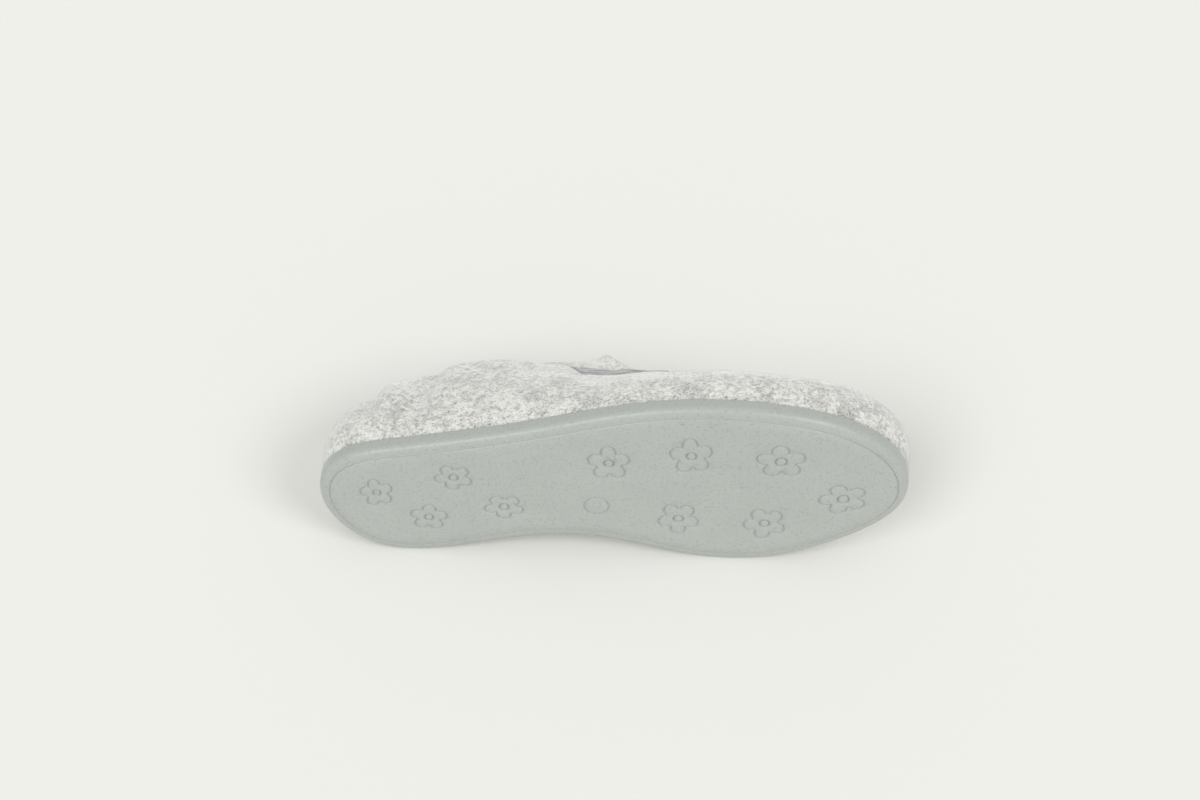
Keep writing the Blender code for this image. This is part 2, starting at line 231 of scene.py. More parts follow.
# Fine creases of the slack felt: troughs have a depth, ridges a negative one
CREASES = (
    # side, s at the rim, slant towards the foot, half width, depth, share of the wall from, to
    ("outer", 28.5, -4.0, 5.0, -1.9, 0.35, 1.1),
    ("outer", 34.5, 9.0, 2.6, 0.5, 0.45, 1.1),
    ("outer", 48.5, 6.0, 4.5, 1.1, 0.45, 1.1),
    ("outer", 58.0, 4.0, 5.0, -0.7, 0.30, 1.1),
    ("outer", 66.0, 14.0, 3.4, 0.5, 0.50, 1.1),
    ("outer", 96.0, 20.0, 6.0, 0.6, 0.35, 1.1),
    ("outer", 118.0, -8.0, 6.5, 0.5, 0.20, 0.9),
    ("inner", 22.0, 6.0, 5.0, 1.6, 0.30, 1.1),
    ("inner", 44.0, 9.0, 5.5, 1.2, 0.35, 1.1),
    ("inner", 60.0, 4.0, 4.0, -0.6, 0.30, 1.1),
    ("inner", 100.0, 10.0, 6.0, 0.6, 0.30, 1.1),
    ("both", 172.0, 10.0, 5.0, 0.22, 0.10, 0.70),
    ("both", 190.0, 12.0, 5.0, 0.20, 0.10, 0.70),
    ("both", 238.0, 0.0, 24.0, -1.8, 0.02, 0.95),
)
CREASE_START = 0.25     # share of the wall over which a crease sets in
CREASE_END = 0.20       # and over which it runs out
HELD = 0.15             # foot of the wall, which the sole keeps smooth
FELT_LUMP = 0.16        # height of the lumps of the felt
LUMP_SIZE = 5.0
LUMP_SHIFT = Vector((13.7, 5.3, 9.1))

# Cut edge of the felt: share of the wall from its outer face, and rise above it
CUT_EDGE = (
    # share, rise
    (0.03, 0.26),
    (0.14, 0.52),
    (0.36, 0.66),
    (0.64, 0.66),
    (0.86, 0.50),
    (0.97, 0.24),
)
LINING_SHARE = 0.7      # the lining starts at this share of the cut edge

# Grey thread over the cut edge of the slit, a painted shadow line for the crevice between the collar, the
# elastic and the tongue: s, and how far it reaches down the felt
SHADOW_LINE_RUN = (
    # s, reach
    (110.2, 0.0),
    (111.7, 1.3),
    (136.0, 1.6),
    (144.0, 2.6),
    (150.0, 2.4),
    (155.5, 0.0),
)
# Mark on the felt where the painted shadow line lies
SHADOW_LINE_MARK = "thread"
SHADOW_LINE_SCALE = 8.0      # of the mark's range, in millimetres
SHADOW_LINE_EDGE = 0.015     # half of the mark's range over which the thread ends
RIM_FINE = 6            # points for each column of the rim

# Closing stitch that runs on from the slit over the felt, a dark line that carries on the painted shadow
# of the crevice between the collar and the tongue
SHADOW_STITCH = (
    # s, w
    (137.5, 74.8),
    (142.0, 76.5),
    (145.5, 79.4),
    (149.0, 81.8),
    (153.5, 82.6),
)
STITCH_RADIUS = 0.36
STITCH_SIDES = 8

# Flowers that are moulded into the tread
FLOWERS = (
    # s, w, radius along s, radius across, direction of a petal in degrees
    (25.6, 39.2, 7.4, 8.7, 31.0),
    (60.0, 50.7, 8.4, 7.8, 47.0),
    (48.1, 23.9, 8.4, 8.2, 15.0),
    (81.8, 32.3, 8.9, 7.6, 52.0),
    (128.2, 62.9, 9.3, 10.6, 21.0),
    (164.0, 69.0, 9.4, 11.1, 25.0),
    (159.2, 27.8, 9.1, 10.2, 53.0),
    (203.0, 67.0, 10.9, 10.0, 22.0),
    (197.5, 26.2, 9.4, 10.0, 45.0),
    (231.4, 42.5, 10.8, 9.4, 38.0),
)
PETALS = 5
PETAL_POINTS = 15
NOTCH_POINTS = 9
PETAL_SHARE = 0.523     # radius of a petal's round, of its distance from the middle
NOTCH_RADIUS = 0.75
EYE_SHARE = 0.230       # radius of the ring in the middle, of the flower's
EYE_DEPTH = 1.25        # depth of that ring, of the petals'
EYE_POINTS = 40
SIZE_RING = (122.9, 34.7, 5.4)      # s, w, radius
RING_DEPTH = 0.8        # of the petals'
RING_POINTS = 56

# Engraved line: offset from its middle and depth
ENGRAVING = (
    # offset, depth
    (-0.70, 0.0),
    (-0.60, 0.03),
    (-0.38, 0.44),
    (-0.14, 0.72),
    (0.14, 0.72),
    (0.38, 0.44),
    (0.60, 0.03),
    (0.70, 0.0),
)

# Air bubbles that broke the skin of the tread
PITS = (
    # s, w, radius, depth
    (159.6, 88.7, 0.7, 0.7),
    (172.0, 87.7, 0.6, 0.5),
    (186.4, 49.4, 0.6, 0.6),
    (224.0, 60.0, 0.5, 0.4),
)
PIT_SHAPE = (
    # share of the radius, share of the depth
    (1.25, 0.0),
    (1.0, 0.1),
    (0.75, 0.7),
    (0.4, 1.0),
)
PIT_POINTS = 12
SOIL_AT = (129.0, 64.0)     # a soiled flower
SOIL_REACH = 5.5
SOIL_CORE = 0.2         # share of that reach where it is soiled most

# Plain field between the flowers: its grid, and the room it leaves
TREAD_PITCH = 4.0
TREAD_S = (6.0, 255.0)
TREAD_W = (2.0, 98.0)
EDGE_ROOM = 2.4
RELIEF_ROOM = 1.6
PIT_ROOM = 2.2
FILL_INSIDE = 1         # triangles inside the edges only
FILL_NEAR = 1e-5

# Groove beside the field: distance outwards from the field's edge and depth
MOULD_LINE = (
    # reach, depth
    (0.10, 0.06),
    (0.26, 0.42),
    (0.42, 0.55),
    (0.56, 0.50),
    (0.70, 0.26),
    (0.84, 0.20),
)
BORDER_STEP = 0.20      # the border lies this far behind the field
FLASH = 0.22            # thin fin that the mould left beside the groove
FLASH_RUN = (33.0, 55.0)
FLASH_FADE = (0.03, 0.01)   # turn over which the fin starts and ends
FLASH_REACH = 0.98      # outwards from the field's edge, as the next two
BORDER_REACH = 1.20
EDGE_REACH = 1.50
FIN_SHARE = 0.8         # mean height of the ragged fin
FIN_LOOP = (14.0, 3.0)      # radius and height of the loop through its noise
FAINT = 0.55            # share of the groove that is lost where the line is faint
FAINT_RUN = (142.0, 216.0)
FAINT_FADE = 0.2

# Short fibres that stand off the felt
FIBRES = 14500
SEAM_FIBRES = 2400      # over the edge of the sole
TONGUE_FIBRES = 1500
DROOP = 2.0
FIBRE_LENGTH = (0.9, 2.6)
FIBRE_WIDTH = 0.045
FIBRE_TAPER = 0.8       # width at the middle, of that at the root
FIBRE_ROOT = 0.1        # sunk into the felt
FIBRE_STAND = (0.05, 0.55)
FIBRE_CURL = (-0.25, 0.30)
FIBRE_SIDES = 3
FIBRE_FACES = (
    # corners: 0 to 2 at the root, 3 to 5 at the middle, 6 at the tip
    (0, 1, 4, 3),
    (1, 2, 5, 4),
    (2, 0, 3, 5),
    (3, 4, 6),
    (4, 5, 6),
    (5, 3, 6),
    (0, 2, 1),
)
SEED = 11

# Colours, as linear values
SOLE_FIELD = (0.435, 0.458, 0.436, 1.0)
SOLE_BORDER = (0.427, 0.453, 0.431, 1.0)
SOLE_GRAIN = (0.300, 0.320, 0.298, 1.0)
FELT_PALE = (0.824, 0.820, 0.790, 1.0)
FELT_DARK = (0.225, 0.227, 0.223, 1.0)
TONGUE_PALE = (0.745, 0.741, 0.713, 1.0)
FUZZ_DARK = (0.420, 0.420, 0.410, 1.0)
# Dark grey of the painted shadow line along the slit, and of the stitch that carries it on
SHADOW_LINE_THREAD = (0.300, 0.310, 0.312, 1.0)
THREAD_SHADE = 0.7      # darker plies of the thread
SOIL = (0.290, 0.275, 0.215, 1.0)
ELASTIC_PALE = (0.530, 0.550, 0.555, 1.0)
ELASTIC_DARK = (0.355, 0.370, 0.375, 1.0)
LINING_PALE = (0.420, 0.440, 0.462, 1.0)
LINING_DARK = (0.190, 0.205, 0.225, 1.0)
INSOLE_PALE = (0.470, 0.480, 0.480, 1.0)
INSOLE_DARK = (0.240, 0.250, 0.260, 1.0)
FLOOR = (0.838, 0.838, 0.816, 1.0)

# Fibres that cross in the felt: turns of three sets, and scale along and across
STRAND_TURNS = ((0.2, 0.3, 0.5), (0.9, -0.6, -0.7), (-0.5, 1.0, 1.9))
STRAND_SCALE = (380.0, 1700.0, 1700.0)
RIB_SCALE = (90.0, 1500.0, 1500.0)
FELT_RELIEF = 0.0006    # of the bump, in metres
SKIN_RELIEF = 0.0002


def ring_spline(values, at):
    """Closed cubic through evenly spaced values; at is in steps."""
    y = np.asarray(values, float)
    n = len(y)
    system = 4.0 * np.eye(n) + np.roll(np.eye(n), 1, axis=1) + np.roll(np.eye(n), -1, axis=1)
    bend = np.linalg.solve(system, 6.0 * (np.roll(y, -1) - 2.0 * y + np.roll(y, 1)))
    at = np.asarray(at, float) % n
    i = np.floor(at).astype(int) % n
    k = (i + 1) % n
    b = at - np.floor(at)
    a = 1.0 - b
    return a * y[i] + b * y[k] + ((a ** 3 - a) * bend[i] + (b ** 3 - b) * bend[k]) / 6.0


def open_spline(xs, ys, at):
    """Natural cubic through the rows of a table."""
    x = np.asarray(xs, float)
    y = np.asarray(ys, float)
    n = len(x)
    d = np.diff(x)
    system = np.eye(n)
    right = np.zeros(n)
    for i in range(1, n - 1):
        system[i, i - 1:i + 2] = d[i - 1], 2.0 * (d[i - 1] + d[i]), d[i]
        right[i] = 6.0 * ((y[i + 1] - y[i]) / d[i] - (y[i] - y[i - 1]) / d[i - 1])
    bend = np.linalg.solve(system, right)
    at = np.clip(np.asarray(at, float), x[0], x[-1])
    i = np.clip(np.searchsorted(x, at) - 1, 0, n - 2)
    a = (x[i + 1] - at) / d[i]
    b = 1.0 - a
    bow = (a ** 3 - a) * bend[i] + (b ** 3 - b) * bend[i + 1]
    return a * y[i] + b * y[i + 1] + bow * d[i] ** 2 / 6.0


def from_table(table, column, at):
    """Smooth value of a table's column at places along its first column."""
    rows = np.array(table)
    return open_spline(rows[:, 0], rows[:, column], at)


def along_line(line, at, places):
    """Points of a line at places along it."""
    return np.column_stack([np.interp(places, at, line[:, c]) for c in range(3)])


def unit(vectors):
    """Vectors along the last axis, brought to length 1."""
    return vectors / np.linalg.norm(vectors, axis=-1, keepdims=True)


def full_turn(points):
    """Even turns round a circle."""
    return np.arange(points) * 2.0 * math.pi / points


def quarter(steps):
    """Sine and cosine in even steps of a quarter turn."""
    turns = [math.pi / 2.0 * i / steps for i in range(steps + 1)]
    return [(math.sin(t), math.cos(t)) for t in turns]


def ease(x):
    """Smooth step from 0 to 1."""
    x = np.clip(x, 0.0, 1.0)
    return x * x * (3.0 - 2.0 * x)


def bell(x, at, width):
    """1 at a place, and less to either side of it."""
    return np.exp(-((x - at) / width) ** 2)


def both_sides(table, outer, inner):
    """Values of a heel-to-front table as one closed loop, out along the outer side."""
    there = [row[outer] for row in table]
    back = [row[inner] for row in table]
    return there + back[-2:0:-1]


# Closed loops of the tables, by their columns
SOLE_LOOP = both_sides(OUTLINE, 1, 2)
RIM_W_LOOP = both_sides(RIM, 1, 3)
RIM_H_LOOP = both_sides(RIM, 2, 4)


def outline(turn):
    """Sole edge at a turn of 0 to 2 pi, heel at 0, toe at pi."""
    turn = np.asarray(turn, float)
    s = LENGTH / 2.0 * (1.0 - np.cos(turn))
    w = ring_spline(SOLE_LOOP, turn / math.pi * (len(OUTLINE) - 1))
    return np.stack([s, w], axis=-1)


def outward(turn):
    """Outward normal of the sole edge in plan."""
    step = outline(turn + 1e-3) - outline(turn - 1e-3)
    return unit(np.stack([-step[..., 1], step[..., 0]], axis=-1))


def inset(turn, distance):
    """Line at a distance inside the sole edge, in plan."""
    distance = np.asarray(distance, float)[..., None]
    return outline(turn) - distance * outward(turn)


def ring_at(turn, reach, lift):
    """Closed line inside the sole edge, at one height or with a height for each point."""
    return np.column_stack([inset(turn, reach), np.broadcast_to(lift, len(turn))])


def turn_at(s, outer):
    """Turn whose station is s, on the outer or the inner side."""
    turn = np.arccos(np.clip(1.0 - 2.0 * np.asarray(s, float) / LENGTH, -1.0, 1.0))
    return turn if outer else 2.0 * math.pi - turn


def columns():
    """Stations of each column at the foot and at the top of the wall."""
    q = np.arange(REAR + 1) / REAR
    half = (1.0 - np.cos(math.pi * q)) / 2.0
    x = np.arange(1, FRONT + 1) / FRONT
    foot_front = THROAT + (LENGTH - THROAT) * np.sin(math.pi / 2.0 * x)
    share = VAMP_CROWD * (1.0 - (1.0 - x) ** VAMP_POWER) + (1.0 - VAMP_CROWD) * x
    top_front = THROAT + (TOE_POLE - THROAT) * share
    foot = np.concatenate([THROAT * half, foot_front])
    top = np.concatenate([HEEL_RIM + (THROAT - HEEL_RIM) * half, top_front])
    return q, foot, top


def wall(outer):
    """Outer face of the felt on one side of the foot: points by column and row."""
    q, foot_s, top_s = columns()
    turn = turn_at(foot_s, outer)
    foot = inset(turn, FEATHER_INSET)
    out = outward(turn)
    half = len(RIM) - 1
    step = q * half if outer else 2 * half - q * half
    vamp = top_s[REAR + 1:]
    top_w = np.concatenate([ring_spline(RIM_W_LOOP, step), from_table(RIDGE, 1, vamp)])
    top_h = np.concatenate([ring_spline(RIM_H_LOOP, step), from_table(RIDGE, 2, vamp)])
    if outer:
        for at, run, lift in RIM_BUMPS:
            top_h += lift * bell(top_s, at, run)
    square = from_table(SQUARE, 1, top_s)
    swells = np.array(SWELL)
    swell = np.interp(foot_s, swells[:, 0], swells[:, 1 if outer else 2])
    share = np.ones(len(foot_s))
    reach = np.abs(top_w - foot[:, 1]) / np.abs(RIDGE[0][1] - foot[:, 1])
    near_throat = ease((q - REACH_FROM) / REACH_RUN)
    bend = np.clip(reach[:REAR + 1], LEAST_REACH, 1.0)
    share[:REAR + 1] = LEAST_REACH + near_throat * (bend - LEAST_REACH)
    base = SOLE_HEIGHT + GAP
    v = np.arange(ROWS + 1) / ROWS
    grid = np.zeros((len(foot_s), ROWS + 1, 3))
    for k in range(len(foot_s)):
        power = 2.0 / square[k]
        angle = v * math.acos(max(1.0 - share[k], 0.0) ** (1.0 / power))
        x = (1.0 - np.cos(angle) ** power) / share[k]
        y = np.sin(angle) ** power / math.sin(angle[-1]) ** power
        bow = swell[k] * np.sin(math.pi * np.clip(y, 0.0, 1.0) ** SWELL_POWER)
        grid[k, :, 0] = foot[k, 0] + x * (top_s[k] - foot[k, 0]) + bow * out[k, 0]
        grid[k, :, 1] = foot[k, 1] + x * (top_w[k] - foot[k, 1]) + bow * out[k, 1]
        grid[k, :, 2] = base + y * (top_h[k] - base)
        if outer and k <= REAR:
            for at, slant, width, depth in TROUGHS:
                near = bell(grid[k, :, 0], at - slant * (1.0 - v), width)
                grid[k, :, :2] -= (depth * near * ease(v * TROUGH_RISE))[:, None] * out[k]
    return grid


class Piece:
    """Points, faces and the finish of each face, in shoe axes."""

    def __init__(self):
        self.points = np.zeros((0, 3))
        self.faces = []
        self.finish = []

    def add(self, points):
        """Adds points; gives their numbers."""
        first = len(self.points)
        self.points = np.vstack([self.points, np.asarray(points, float)])
        return np.arange(first, len(self.points))

    def face(self, corners, finish=PLAIN):
        """Adds one face over numbered points."""
        self.faces.append(tuple(int(i) for i in corners))
        self.finish.append(finish)

    def band(self, low, high, ring, finish=PLAIN):
        """Adds the faces between two rows or rings of points."""
        n = len(low)
        for i in range(n if ring else n - 1):
            k = (i + 1) % n
            self.face((low[i], low[k], high[k], high[i]), finish)


def normals_of(points, faces):
    """Normals at the points of a mesh of four-cornered faces."""
    p = np.asarray(points, float)
    f = np.asarray(faces, int)
    across = np.cross(p[f[:, 2]] - p[f[:, 0]], p[f[:, 3]] - p[f[:, 1]])
    found = np.zeros_like(p)
    for corner in range(4):
        np.add.at(found, f[:, corner], across)
    return found / np.maximum(np.linalg.norm(found, axis=1, keepdims=True), 1e-12)


def lumps(points):
    """Smooth lumps from -1 to 1, the same on each run."""
    return np.array([noise.noise(Vector(p) / LUMP_SIZE + LUMP_SHIFT) for p in points])


def crease_depth(s, share, outer):
    """How far the creases sink the felt at each point of the wall."""
    sunk = np.zeros(len(s))
    for side, at, slant, half, depth, low, high in CREASES:
        near = bell(s, at - slant * (1.0 - share), half)
        run = ease((share - low) / CREASE_START) * ease((high - share) / CREASE_END)
        here = np.ones(len(s)) if side == "both" else outer if side == "outer" else ~outer
        sunk += depth * near * run * here
    return sunk


def felt_wall():
    """Shared points of the felt wall, their index by side, column and row, and its faces."""
    sides = (wall(True), wall(False))
    last = REAR + FRONT
    points = []
    share = []
    outer = []
    index = {}
    for side in (0, 1):
        for k in range(last + 1):
            for j in range(ROWS + 1):
                shared = side == 1 and (k in (0, last) or (j == ROWS and k >= REAR))
                if shared:
                    index[1, k, j] = index[0, k, j]
                    continue
                index[side, k, j] = len(points)
                points.append(sides[side][k, j])
                share.append(j / ROWS)
                outer.append(side == 0)
    loop = [(0, k) for k in range(last + 1)] + [(1, k) for k in range(last - 1, 0, -1)]
    faces = []
    for i in range(len(loop)):
        a = loop[i]
        b = loop[(i + 1) % len(loop)]
        for j in range(ROWS):
            faces.append((index[b + (j,)], index[a + (j,)], index[a + (j + 1,)], index[b + (j + 1,)]))
    return np.array(points), np.array(share), np.array(outer), index, loop, np.array(faces)


def inner_face(points, faces, index, loop):
    """The felt's inner face, a wall's thickness inside the outer one."""
    away = normals_of(points, faces)
    inside = points - FELT * away
    for a in loop:
        i = index[a + (0,)]
        inside[i] = points[i] - FELT * unit(away[i] * (1.0, 1.0, 0.0))
    return inside, away


def cut_edge(over, under, out):
    """Rounded cut edge of a felt, line by line from its outer to its inner face."""
    return [(1.0 - part) * over + part * under + lift * out for part, lift in CUT_EDGE]


def make_upper():
    """Felt upper with its creases, lining and rounded cut edge."""
    smooth, share, outer, index, loop, faces = felt_wall()
    smooth_inside, away = inner_face(smooth, faces, index, loop)
    free = ease(share / HELD)
    sunk = crease_depth(smooth[:, 0], share, outer) - FELT_LUMP * lumps(smooth)
    points = smooth - (sunk * free)[:, None] * away
    inside, away = inner_face(points, faces, index, loop)
    upper = Piece()
    skin = upper.add(points)
    lining = upper.add(inside)
    for f in faces:
        upper.face(skin[f])
    for f in faces:
        upper.face(lining[f[::-1]], LINED)
    foot = np.array([index[a + (0,)] for a in loop])
    upper.band(skin[foot], lining[foot], True)
    rim = [(0, k) for k in range(REAR + 1)] + [(1, k) for k in range(REAR - 1, 0, -1)]
    edge = np.array([index[a + (ROWS,)] for a in rim])
    below = np.array([index[a + (ROWS - 2,)] for a in rim])
    row = skin[edge]
    cut = cut_edge(points[edge], inside[edge], unit(points[edge] - points[below]))
    for line, (part, _) in zip(cut, CUT_EDGE):
        following = upper.add(line)
        upper.band(following, row, True, LINED if part > LINING_SHARE else PLAIN)
        row = following
    upper.band(lining[edge], row, True, LINED)
    add_shadow_stitch(upper, points, index)
    cover = shadow_line_cover(upper.points, points[edge[:REAR + 1]])
    return upper, cover, len(faces), smooth, smooth_inside, index


def add_shadow_stitch(upper, points, index):
    """Thread on the felt in front of the slit, half sunk into it: a painted shadow line that runs on from
    the slit.
    """
    first, last = SHADOW_STITCH[0][0], SHADOW_STITCH[-1][0]
    line = []
    for k in range(REAR + 1):
        column = points[[index[0, k, j] for j in range(ROWS + 1)]]
        over = column[:, 1] - from_table(SHADOW_STITCH, 1, column[:, 0])
        for j in np.flatnonzero((over[:-1] > 0.0) & (over[1:] <= 0.0)):
            place = column[j] + over[j] / (over[j] - over[j + 1]) * (column[j + 1] - column[j])
            if first < place[0] < last:
                line.append(place)
    along = unit(np.gradient(np.array(line), axis=0))
    side = unit(np.cross(along, (0.0, 0.0, 1.0)))
    up = np.cross(side, along)
    turn = full_turn(STITCH_SIDES)
    rings = []
    for place, a, b in zip(line, side, up):
        round_it = np.outer(np.cos(turn), a) + np.outer(np.sin(turn), b)
        rings.append(upper.add(place + STITCH_RADIUS * round_it))
    for low, high in zip(rings, rings[1:]):
        upper.band(low, high, True, SHADOW_SEWN)
    upper.face(rings[0][::-1], SHADOW_SEWN)
    upper.face(rings[-1], SHADOW_SEWN)


def shadow_line_cover(points, rim):
    """Mark of the painted shadow line along the slit's outer rim: over one half where the dark thread
    covers the felt.
    """
    run = np.array(SHADOW_LINE_RUN)
    line = along_line(rim, range(len(rim)), np.linspace(0.0, len(rim) - 1.0, RIM_FINE * len(rim)))
    cover = np.zeros(len(points))
    for i in np.flatnonzero((points[:, 0] > run[0, 0]) & (points[:, 0] < run[-1, 0])):
        reach = np.interp(points[i, 0], run[:, 0], run[:, 1])
        away = np.linalg.norm(line - points[i], axis=1).min()
        cover[i] = min(max(0.5 + (reach - away) / SHADOW_LINE_SCALE, 0.0), 1.0)
    return cover


def flower_line(radius, direction, offset):
    """Line round five petals at an offset from the engraved line, in the flower's own plane."""
    reach = radius / (1.0 + PETAL_SHARE)
    petal = PETAL_SHARE * reach
    half = math.pi / PETALS
    notch = reach * math.cos(half) + math.sqrt((petal + NOTCH_RADIUS) ** 2 - (reach * math.sin(half)) ** 2)
    meet = np.array([notch * math.cos(half), notch * math.sin(half)])
    sweep = math.atan2(meet[1], meet[0] - reach)
    to_petal = math.atan2(-meet[1], reach - meet[0])
    to_middle = math.atan2(-meet[1], -meet[0])
    turn = (to_petal - to_middle + math.pi) % (2.0 * math.pi) - math.pi
    round_petal = np.linspace(-sweep, sweep, PETAL_POINTS)
    round_notch = to_middle + np.linspace(turn, -turn, NOTCH_POINTS)[1:-1]
    one = np.vstack([
        np.column_stack([
            reach + (petal + offset) * np.cos(round_petal),
            (petal + offset) * np.sin(round_petal),
        ]),
        meet + (NOTCH_RADIUS - offset) * np.column_stack([np.cos(round_notch), np.sin(round_notch)]),
    ])
    found = []
    for i in range(PETALS):
        a = math.radians(direction) + 2.0 * half * i
        found.append(one @ np.array([[math.cos(a), math.sin(a)], [-math.sin(a), math.cos(a)]]))
    return np.vstack(found)


def ring_line(radius, points):
    """Circle round the origin, in plan."""
    turn = full_turn(points)
    return radius * np.column_stack([np.cos(turn), np.sin(turn)])


def tread_lines():
    """Closed lines of the tread's relief with the depth of each, in plan."""
    lines = []
    for s, w, along, across, direction in FLOWERS:
        for offset, depth in ENGRAVING:
            petals = flower_line(along, direction, offset) * (1.0, across / along)
            lines.append((petals + (s, w), depth))
            eye = ring_line(EYE_SHARE * along + offset, EYE_POINTS)
            lines.append((eye + (s, w), EYE_DEPTH * depth))
    s, w, radius = SIZE_RING
    for offset, depth in ENGRAVING:
        lines.append((ring_line(radius + offset, RING_POINTS) + (s, w), RING_DEPTH * depth))
    for s, w, radius, depth in PITS:
        for part, sink in PIT_SHAPE:
            lines.append((ring_line(part * radius, PIT_POINTS) + (s, w), sink * depth))
    return lines


def plain_tread(taken):
    """Points of the plain field, clear of the relief and of the edge."""
    edge = inset(full_turn(SOLE_POINTS), FIELD_INSET + EDGE_ROOM)
    s, w = np.meshgrid(np.arange(*TREAD_S, TREAD_PITCH), np.arange(*TREAD_W, TREAD_PITCH))
    grid = np.column_stack([s.ravel(), w.ravel()])
    outer = edge[1:SOLE_POINTS // 2]
    inner = edge[:SOLE_POINTS // 2:-1]
    top = np.interp(grid[:, 0], outer[:, 0], outer[:, 1], left=-math.inf, right=-math.inf)
    low = np.interp(grid[:, 0], inner[:, 0], inner[:, 1], left=math.inf, right=math.inf)
    keep = (grid[:, 1] < top) & (grid[:, 1] > low)
    for s0, w0, radius in taken:
        keep &= np.hypot(grid[:, 0] - s0, grid[:, 1] - w0) > radius
    return grid[keep]


def tread_mesh(edge):
    """The tread field inside its edge: plan points, depths and three-cornered faces."""
    taken = [(s, w, max(along, across) + RELIEF_ROOM) for s, w, along, across, _ in FLOWERS]
    s, w, radius = SIZE_RING
    taken.append((s, w, radius + RELIEF_ROOM))
    taken += [(s, w, PIT_ROOM) for s, w, _, _ in PITS]
    places = [edge]
    depths = [np.zeros(len(edge))]
    edges = [(i, (i + 1) % len(edge)) for i in range(len(edge))]
    first = len(edge)
    for line, depth in tread_lines():
        n = len(line)
        places.append(line)
        depths.append(np.full(n, depth))
        edges += [(first + i, first + (i + 1) % n) for i in range(n)]
        first += n
    plain = plain_tread(taken)
    places.append(plain)
    depths.append(np.zeros(len(plain)))
    places = np.vstack(places)
    depths = np.concatenate(depths)
    made = delaunay_2d_cdt([Vector(p) for p in places], edges, [], FILL_INSIDE, FILL_NEAR)
    plan = np.array([tuple(p) for p in made[0]])
    depth = np.array([depths[origin[0]] if origin else 0.0 for origin in made[3]])
    origin = [o[0] if o else -1 for o in made[3]]
    return plan, depth, made[2], origin


def mould_line(turn):
    """Groove, flash and border outside the field: distance inside the sole edge, and lift."""
    radius, height = FIN_LOOP
    loop = [Vector((radius * math.cos(t), radius * math.sin(t), height)) for t in turn]
    ragged = np.array([noise.noise(place) for place in loop])
    low, high = turn_at(FLASH_RUN, True)
    left = ease((turn - low) / FLASH_FADE[0]) * ease((high - turn) / FLASH_FADE[1])
    fin = FLASH * left * np.clip(FIN_SHARE * (1.0 + ragged), 0.0, 1.0)
    low, high = turn_at(FAINT_RUN, True)
    faint = FAINT * ease((turn - low) / FAINT_FADE) * ease((high - turn) / FAINT_FADE)
    open_share = (1.0 - left) * (1.0 - faint)
    rings = []
    for reach, lift in MOULD_LINE:
        groove = BORDER_STEP + (lift - BORDER_STEP) * open_share
        rings.append((reach, groove if lift > BORDER_STEP else lift))
    rings.append((FLASH_REACH, BORDER_STEP - fin))
    rings.append((BORDER_REACH, BORDER_STEP))
    rings.append((EDGE_REACH, FIELD_STEP))
    return [(FIELD_INSET - reach, lift) for reach, lift in rings]


def make_outsole():
    """Moulded sole: engraved tread, mould line, rounded edge and side."""
    turn = full_turn(SOLE_POINTS)
    sole = Piece()
    plan, depth, faces, origin = tread_mesh(inset(turn, FIELD_INSET))
    field = sole.add(np.column_stack([plan, depth]))
    for f in faces:
        a, b, c = (plan[i] for i in f)
        turned = (b[0] - a[0]) * (c[1] - a[1]) - (b[1] - a[1]) * (c[0] - a[0]) < 0.0
        sole.face(field[list(f)] if turned else field[list(f)[::-1]])
    at = {o: i for i, o in enumerate(origin) if 0 <= o < SOLE_POINTS}
    row = np.array([field[at[i]] for i in range(SOLE_POINTS)])
    rings = mould_line(turn)
    for sine, cosine in quarter(EDGE_STEPS):
        rings.append((SOLE_EDGE_RADIUS * (1.0 - sine), FIELD_STEP + SOLE_EDGE_RADIUS * (1.0 - cosine)))
    for sine, cosine in quarter(TOP_STEPS):
        rings.append((SOLE_TOP_RADIUS * (1.0 - cosine), SOLE_HEIGHT - SOLE_TOP_RADIUS * (1.0 - sine)))
    for reach, lift in rings:
        following = sole.add(ring_at(turn, reach, lift))
        sole.band(row[::-1], following[::-1], True, BORDER)
        row = following
    for corners in strip(row):
        sole.face(corners[::-1], BORDER)
    return sole


def strip(ring):
    """Faces across a closed ring whose first point is the heel: outer side to inner side."""
    n = len(ring)
    faces = [(ring[0], ring[1], ring[n - 1])]
    for i in range(1, n // 2 - 1):
        faces.append((ring[i], ring[i + 1], ring[n - i - 1], ring[n - i]))
    faces.append((ring[n // 2 - 1], ring[n // 2], ring[n // 2 + 1]))
    return faces


def make_insole():
    """Footbed with a soft edge."""
    turn = full_turn(INSOLE_POINTS)
    low = SOLE_HEIGHT + GAP
    high = low + INSOLE
    edge = FEATHER_INSET + FELT + GAP + INSOLE_ROOM
    run, height = INSOLE_EDGE
    profile = [(edge, low)]
    for sine, cosine in quarter(INSOLE_STEPS):
        profile.append((edge + run * (1.0 - cosine), high - height * (1.0 - sine)))
    profile += [(edge + reach, high) for reach in INSOLE_INNER]
    insole = Piece()
    rings = [insole.add(ring_at(turn, reach, lift)) for reach, lift in profile]
    for under, over in zip(rings, rings[1:]):
        insole.band(under[::-1], over[::-1], True)
    for corners in strip(rings[0]):
        insole.face(corners)
    for corners in strip(rings[-1]):
        insole.face(corners[::-1])
    return insole


def ladder(over, under):
    """Faces between two rows of points."""
    return [(over[i], over[i + 1], under[i + 1], under[i]) for i in range(len(over) - 1)]


def close_ends(piece, loops, end_faces):
    """Faces over the first and the last loop of a piece."""
    for corners in end_faces(loops[0]):
        piece.face(corners[::-1])
    for corners in end_faces(loops[-1]):
        piece.face(corners)


